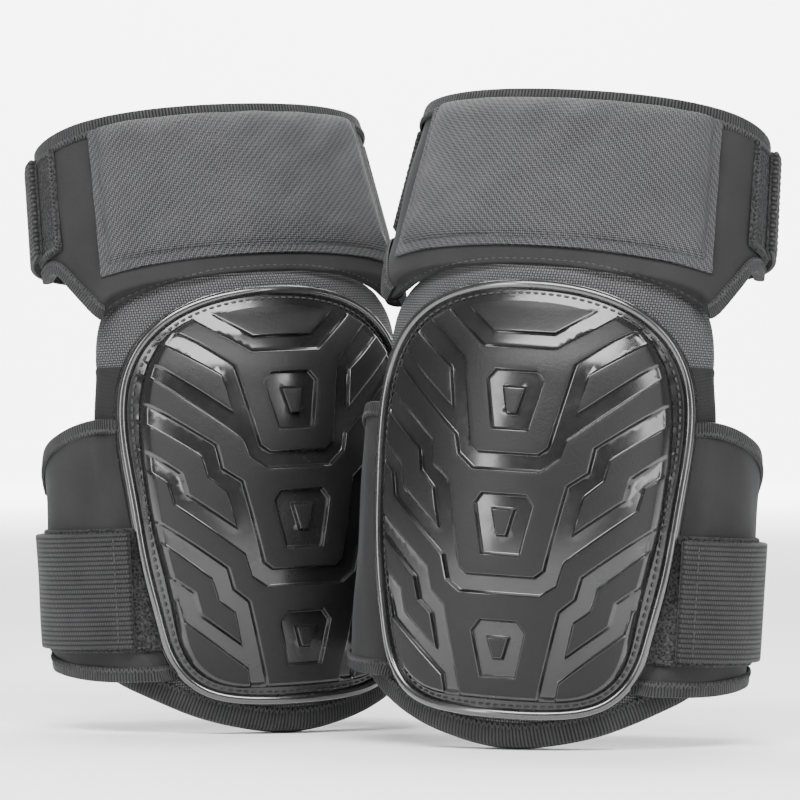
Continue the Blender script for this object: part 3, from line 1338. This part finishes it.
class Look:
    """A material being built: its textures, then its colour, roughness and bump."""

    def __init__(self, name, roughness, sheen=0.0, sheen_roughness=0.5, coat=0.0, specular=0.18):
        self.material = bpy.data.materials.new(name)
        self.material.use_nodes = True
        self.tree = self.material.node_tree
        self.shader = self.tree.nodes["Principled BSDF"]
        for socket, value in (("Roughness", roughness), ("Sheen Weight", sheen * 0.12),
                              ("Sheen Roughness", sheen_roughness),
                              ("Sheen Tint", (0.8, 0.82, 0.85, 1)), ("Coat Weight", coat),
                              ("Coat Roughness", 0.12), ("Specular IOR Level", specular)):
            self.shader.inputs[socket].default_value = value

    def flat_place(self):
        """Length and height along the piece in millimetres."""
        place = self.tree.nodes.new("ShaderNodeUVMap")
        place.uv_map = "UVMap"
        parts = self.tree.nodes.new("ShaderNodeSeparateXYZ")
        self.tree.links.new(place.outputs["UV"], parts.inputs[0])
        return Wire(self.tree, parts.outputs["X"]), Wire(self.tree, parts.outputs["Y"])

    def texture(self, kind, scale, stretch=None):
        """A texture by place in the object."""
        where = self.tree.nodes.new("ShaderNodeTexCoord").outputs["Object"]
        if stretch:
            mapping = self.tree.nodes.new("ShaderNodeMapping")
            mapping.inputs["Scale"].default_value = stretch
            self.tree.links.new(where, mapping.inputs["Vector"])
            where = mapping.outputs["Vector"]
        node = self.tree.nodes.new(kind)
        node.inputs["Scale"].default_value = scale
        self.tree.links.new(where, node.inputs["Vector"])
        return node

    def noise(self, size, detail=3.0, stretch=None):
        """Noise with features of about size metres."""
        grain = self.texture("ShaderNodeTexNoise", 1 / size, stretch)
        grain.inputs["Detail"].default_value = detail
        return Wire(self.tree, grain.outputs["Fac"])

    def cells(self, scale):
        """Distance from the middle of each cell."""
        return Wire(self.tree, self.texture("ShaderNodeTexVoronoi", scale).outputs["Distance"])

    def made(self, tone, dark, light, height, depth, rough=None):
        """Colour from dark to light by tone, bump by height, and roughness where one is given."""
        ramp = self.tree.nodes.new("ShaderNodeValToRGB")
        for stop, place, colour in zip(ramp.color_ramp.elements, (0.22, 0.82), (dark, light)):
            stop.position, stop.color = place, (*colour, 1)
        bump = self.tree.nodes.new("ShaderNodeBump")
        bump.inputs["Distance"].default_value = depth
        bump.inputs["Strength"].default_value = 1.0
        links = [(tone.socket, ramp.inputs[0]), (ramp.outputs[0], self.shader.inputs["Base Color"]),
                 (height.socket, bump.inputs["Height"]),
                 (bump.outputs["Normal"], self.shader.inputs["Normal"])]
        if rough:
            links.append((rough.socket, self.shader.inputs["Roughness"]))
        for start, finish in links:
            self.tree.links.new(start, finish)
        return self.material


def grey(value, cool=1.03):
    return (value, value, value * cool)


def ribs(place, pitch):
    return (place / pitch * math.pi).sin().absolute()


def woven(name, pitch, dark, light, roughness, sheen, twill=False, depth=0.25):
    """Crossing threads, from 0 in the gaps to 1 on a thread's crown."""
    look = Look(name, roughness, sheen)
    u, v = (place / pitch for place in look.flat_place())
    repeat, floats = (4.0, 1.5) if twill else (2.0, 0.5)
    over = (u.floor() + v.floor()).modulo(repeat).below(floats)
    side_u, side_v = (((place.fract() - 0.5) * math.pi).cos() for place in (u, v))
    height = mixed(over, side_u.power(0.6) * (side_v * 0.5 + 0.5),
                   side_v.power(0.6) * (side_u * 0.5 + 0.5))
    fibre = look.noise(0.00035, 2.0)
    tone = height * 0.68 + over * 0.15 + look.noise(0.018, 2.0) * 0.12 - 0.08 + fibre * 0.22 - 0.1
    return look.made(tone, dark, light, height + fibre * 0.25, depth * MM,
                     height.scaled(0, 1, roughness + 0.12, roughness - 0.08))


def grained_plastic():
    look = Look("cap_grained_plastic", 0.5, specular=0.3)
    grain, wear = look.noise(0.0005, 3.0), look.noise(0.05, 4.0)
    return look.made(wear * 0.7 + grain * 0.3, grey(0.003), grey(0.009),
                     grain * 0.7 + look.noise(0.0016, 2.0) * 0.5, 0.00016,
                     (wear * 0.5 + grain * 0.5).scaled(0.3, 0.7, 0.36, 0.52))


def smooth_plastic():
    look = Look("cap_smooth_plastic", 0.2, coat=0.3, specular=0.5)
    wear, fine = look.noise(0.03, 5.0), look.noise(0.004, 2.0)
    return look.made(wear, grey(0.005), grey(0.011), fine, 0.00002,
                     (wear * 0.6 + fine * 0.4).scaled(0.3, 0.7, 0.16, 0.30))


def bead_plastic():
    look = Look("cap_bead_plastic", 0.16, coat=1.0, specular=0.8)
    wear = look.noise(0.02, 4.0)
    return look.made(wear, grey(0.006), grey(0.014), look.noise(0.006, 2.0), 0.00003,
                     wear.scaled(0.3, 0.7, 0.2, 0.32))


def knit(name, dark, light, size, depth, roughness=0.85):
    """Smooth or brushed jersey with a fine pile."""
    look = Look(name, roughness, 0.35, 0.45)
    fine, loops = look.noise(size, 3.0), look.noise(size * 0.45, 1.0, (1, 1, 0.6))
    tone = fine * 0.45 + look.noise(0.02, 3.0) * 0.35 + loops * 0.3 - 0.05
    return look.made(tone, dark, light, fine * 0.6 + loops * 0.6, depth * MM,
                     fine.scaled(0.3, 0.7, roughness - 0.08, roughness + 0.08))


def ribbed_tape(name, pitch, dark, light, depth):
    """Ribbed binding: ribs across the tape and fine threads along it."""
    look = Look(name, 0.7, 0.3)
    along, over = look.flat_place()
    fibre = look.noise(0.0004, 2.0)
    height = ribs(along, pitch) * (ribs(over, 0.55) * 0.35 + 0.65)
    tone = height * 0.6 + look.noise(0.012, 3.0) * 0.35 + fibre * 0.25 - 0.15
    return look.made(tone, dark, light, height + fibre * 0.2, depth * MM,
                     height.scaled(0, 1, 0.82, 0.6))


def webbing():
    """Elastic webbing: ribs along the strap crossed by its weft."""
    look = Look("elastic_webbing", 0.68, 0.3)
    along, over = look.flat_place()
    fibre = look.noise(0.0004, 2.0)
    beat = ((along / 1.25 + (over / 2.1).floor() * 0.5) * math.pi).sin().absolute()
    height = ribs(over, 2.1).power(0.6) * (beat * 0.55 + 0.45)
    tone = height * 0.55 + look.noise(0.02, 2.0) * 0.3 + fibre * 0.2 - 0.1
    return look.made(tone, grey(0.003), grey(0.04), height + fibre * 0.15, 0.0005,
                     height.scaled(0, 1, 0.85, 0.6))


def loop_pile(name, dark, light, size):
    """Fuzzy loops with brighter curls."""
    look = Look(name, 0.9, 0.5, 0.4)
    height = look.noise(size, 4.0) * 0.7 + look.cells(1 / (size * 1.1)) * 0.6
    tone = (height - 0.25) * 0.9 + look.noise(0.01, 2.0) * 0.2
    return look.made(tone, dark, light, height, 0.0006)


def foam_look():
    look = Look("dark_foam", 0.95, 0.1)
    pore = look.cells(900)
    return look.made(pore * 0.6 + look.noise(0.02, 2.0) * 0.4, grey(0.03), grey(0.09), pore, 0.0005)


def gel_look():
    look = Look("blue_gel", 0.18, coat=0.3)
    fine = look.noise(0.004, 2.0)
    return look.made(look.noise(0.03, 3.0), (0.03, 0.10, 0.22), (0.06, 0.18, 0.35), fine, 0.0001,
                     fine.scaled(0.3, 0.7, 0.14, 0.26))


def thread_look():
    look = Look("sewing_thread", 0.6, 0.3)
    twist = look.noise(0.0006, 2.0, (1, 1, 3))
    tone = twist * 0.7 + look.noise(0.01, 2.0) * 0.3
    return look.made(tone, grey(0.01), grey(0.075), twist, 0.00015)


def all_looks():
    return {
        "grain": grained_plastic(),
        "gloss": smooth_plastic(),
        "bead": bead_plastic(),
        "cover": woven("woven_cover", 1.15, grey(0.0015), grey(0.12), 0.68, 0.25, depth=0.55),
        "side": woven("side_fabric", 0.6, grey(0.002), grey(0.03), 0.78, 0.25, depth=0.25),
        "panel": woven("panel_oxford", 0.8, grey(0.002), grey(0.105), 0.6, 0.35, True, depth=0.4),
        "neoprene": knit("neoprene_jersey", grey(0.008), grey(0.030), 0.0006, 0.1),
        "lining": knit("brushed_lining", grey(0.006), grey(0.03), 0.0009, 0.25),
        "tape": ribbed_tape("ribbed_tape", 1.6, grey(0.003), grey(0.045), 0.45),
        "webbing": webbing(),
        "loop": loop_pile("loop_pile", grey(0.001), grey(0.045), 0.0011),
        "hook": loop_pile("hook_tape", grey(0.006), grey(0.05), 0.0008),
        "foam": foam_look(),
        "gel": gel_look(),
        "thread": thread_look(),
    }


# ------------------------------------------------------------------------------- stage and camera
def area_light(name, size, tall, power, place, aim):
    data = bpy.data.lights.new(name, "AREA")
    data.shape, data.size, data.size_y = "RECTANGLE", size, tall
    data.energy = power
    lamp = bpy.data.objects.new(name, data)
    lamp.location = place
    lamp.rotation_euler = (Vector(aim) - Vector(place)).to_track_quat("-Z", "Y").to_euler()
    bpy.context.scene.collection.objects.link(lamp)


STAGE_SIZE, WALL_Y = 14.0, 7.4


def studio():
    """Pale floor curving up into a pale wall, soft lights and the camera."""
    floor_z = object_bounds()[0][2]
    depth = [(-STAGE_SIZE, 0.0), (WALL_Y, 0.0)]
    for k in range(1, 13):
        angle = math.pi / 2 * k / 12
        depth.append((WALL_Y + math.sin(angle), 1 - math.cos(angle)))
    depth.append((WALL_Y + 1, STAGE_SIZE))
    verts, faces = [], []
    for y, z in depth:
        verts += [(-STAGE_SIZE, y, floor_z + z), (STAGE_SIZE, y, floor_z + z)]
    for i in range(len(depth) - 1):
        faces.append((2 * i, 2 * i + 1, 2 * i + 3, 2 * i + 2))
    mesh = bpy.data.meshes.new("backdrop")
    mesh.from_pydata(verts, [], faces)
    mesh.polygons.foreach_set("use_smooth", [True] * len(faces))
    floor = bpy.data.objects.new("backdrop", mesh)
    bpy.context.scene.collection.objects.link(floor)
    material = bpy.data.materials.new("pale_backdrop")
    material.use_nodes = True
    shader = material.node_tree.nodes["Principled BSDF"]
    shader.inputs["Base Color"].default_value = (0.93, 0.93, 0.93, 1)
    shader.inputs["Roughness"].default_value = 0.9
    mesh.materials.append(material)
    floor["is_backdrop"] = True
    middle = (0.0, 0.0, 0.14)
    for name, size, tall, power, place, aim in (
            ("key_top", 1.4, 0.6, 52, (-0.1, -1.0, 1.25), middle),
            ("front_left", 0.35, 1.5, 22, (-1.3, -1.4, 0.35), middle),
            ("front_right", 0.35, 1.5, 22, (1.3, -1.4, 0.35), middle),
            ("rim_top", 1.0, 0.3, 14, (0.0, 0.5, 1.3), middle),
            ("floor_far", 5.0, 3.0, 500, (0.0, 4.0, 4.0), (0, 4.2, 0)),
            ("back_wall", 5.0, 1.6, 900, (0.0, 5.2, 3.0), (0, 8.4, 0.6))):
        area_light(name, size, tall, power, place, aim)
    world = bpy.data.worlds.new("studio")
    world.use_nodes = True
    world.node_tree.nodes["Background"].inputs["Color"].default_value = (1, 1, 1, 1)
    world.node_tree.nodes["Background"].inputs["Strength"].default_value = 0.3
    bpy.context.scene.world = world
    camera = bpy.data.cameras.new("camera")
    camera.lens, camera.sensor_width = 228.8, 36.0
    view = bpy.data.objects.new("camera", camera)
    view.location = (0.0027, -2.289, 0.1484)
    view.rotation_euler = (math.pi / 2, 0, 0)
    bpy.context.scene.collection.objects.link(view)
    bpy.context.scene.camera = view


LOOK = all_looks()
for side_name in SIDES:
    knee_pad = Pad(side_name)
    cap_shell(knee_pad)
    pad_layers(knee_pad)
    calf_bands(knee_pad)
    thigh_parts(knee_pad)
studio()
